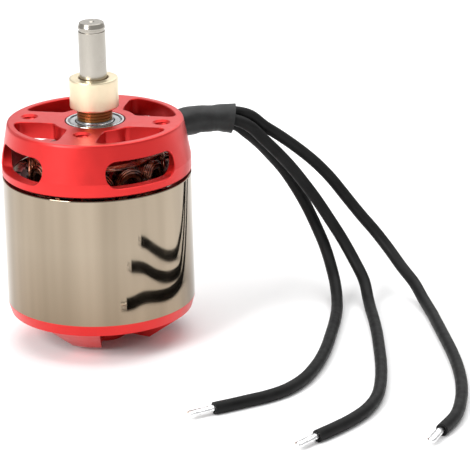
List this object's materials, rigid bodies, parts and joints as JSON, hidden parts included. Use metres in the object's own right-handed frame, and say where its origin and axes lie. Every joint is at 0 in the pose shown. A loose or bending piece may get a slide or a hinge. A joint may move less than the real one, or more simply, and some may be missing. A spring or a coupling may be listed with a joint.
{
  "type": "brushless outrunner motor",
  "caption": "Outrunner motor: a fixed end cap and wound stator inside a spinning magnet can, with a shaft and brass collar, mounting holes and free bare-ended leads.",
  "frame": {"origin": "on the shaft's axis, in the plane of the end cap's mounting face", "axes": "+Z along the shaft, away from the motor; X along the wider pair of mounting holes; the leads leave between +X and +Y"},
  "size_m": [0.0897, 0.0837, 0.0605],
  "materials": {
    "red_anodised": "satin red anodised aluminium, finely bead-blasted",
    "core_steel": "silicon-steel laminations under black epoxy",
    "copper_wire": "enamelled copper wire",
    "bearing_steel": "ground bearing steel",
    "shield_steel": "pressed steel",
    "cage_brass": "stamped brass",
    "dark_nickel": "polished dark nickel plate",
    "magnet": "nickel-plated neodymium",
    "shaft_steel": "ground steel",
    "screw_black": "black oxide",
    "collar_brass": "turned brass",
    "heat_shrink": "black polyolefin sleeve, shrunk and slightly wrinkled",
    "silicone": "matte black silicone rubber",
    "tinned_wire": "stranded copper, tinned"
  },
  "bodies": {
    "stator": {"end_cap": "red_anodised", "stator_core": "core_steel", "winding_a": "copper_wire", "winding_b": "copper_wire", "winding_c": "copper_wire", "phase_tail_a": "copper_wire", "phase_tail_b": "copper_wire", "phase_tail_c": "copper_wire", "upper_outer_ring": "bearing_steel", "upper_shields": "shield_steel", "lower_outer_ring": "bearing_steel", "lower_shields": "shield_steel", "heat_shrink": "heat_shrink", "lead_a": "silicone", "lead_b": "silicone", "lead_c": "silicone", "lead_tip_a": "tinned_wire", "lead_tip_b": "tinned_wire", "lead_tip_c": "tinned_wire"},
    "rotor": {"flux_can": "dark_nickel", "magnets": "magnet", "bell": "red_anodised", "shaft": "shaft_steel", "hub_screws": "screw_black", "hub_spacer": "shield_steel", "collar": "collar_brass", "collar_screw": "screw_black", "collar_shim": "shield_steel", "upper_inner_ring": "bearing_steel", "lower_inner_ring": "bearing_steel"},
    "upper_ball_set": {"upper_balls": "bearing_steel", "upper_cage": "cage_brass"},
    "lower_ball_set": {"lower_balls": "bearing_steel", "lower_cage": "cage_brass"}
  },
  "joints": [
    {"name": "rotor_spin", "type": "hinge", "parent": "stator", "child": "rotor", "pos_m": [0, 0, 0], "axis": [0, 0, 1], "continuous": true},
    {"name": "upper_balls_spin", "type": "hinge", "parent": "stator", "child": "upper_ball_set", "pos_m": [0, 0, 0], "axis": [0, 0, 1], "continuous": true},
    {"name": "lower_balls_spin", "type": "hinge", "parent": "stator", "child": "lower_ball_set", "pos_m": [0, 0, 0], "axis": [0, 0, 1], "continuous": true}
  ],
  "couplings": [
    {"joint": "upper_balls_spin", "follows": "rotor_spin", "ratio": 0.407},
    {"joint": "lower_balls_spin", "follows": "rotor_spin", "ratio": 0.407}
  ]
}
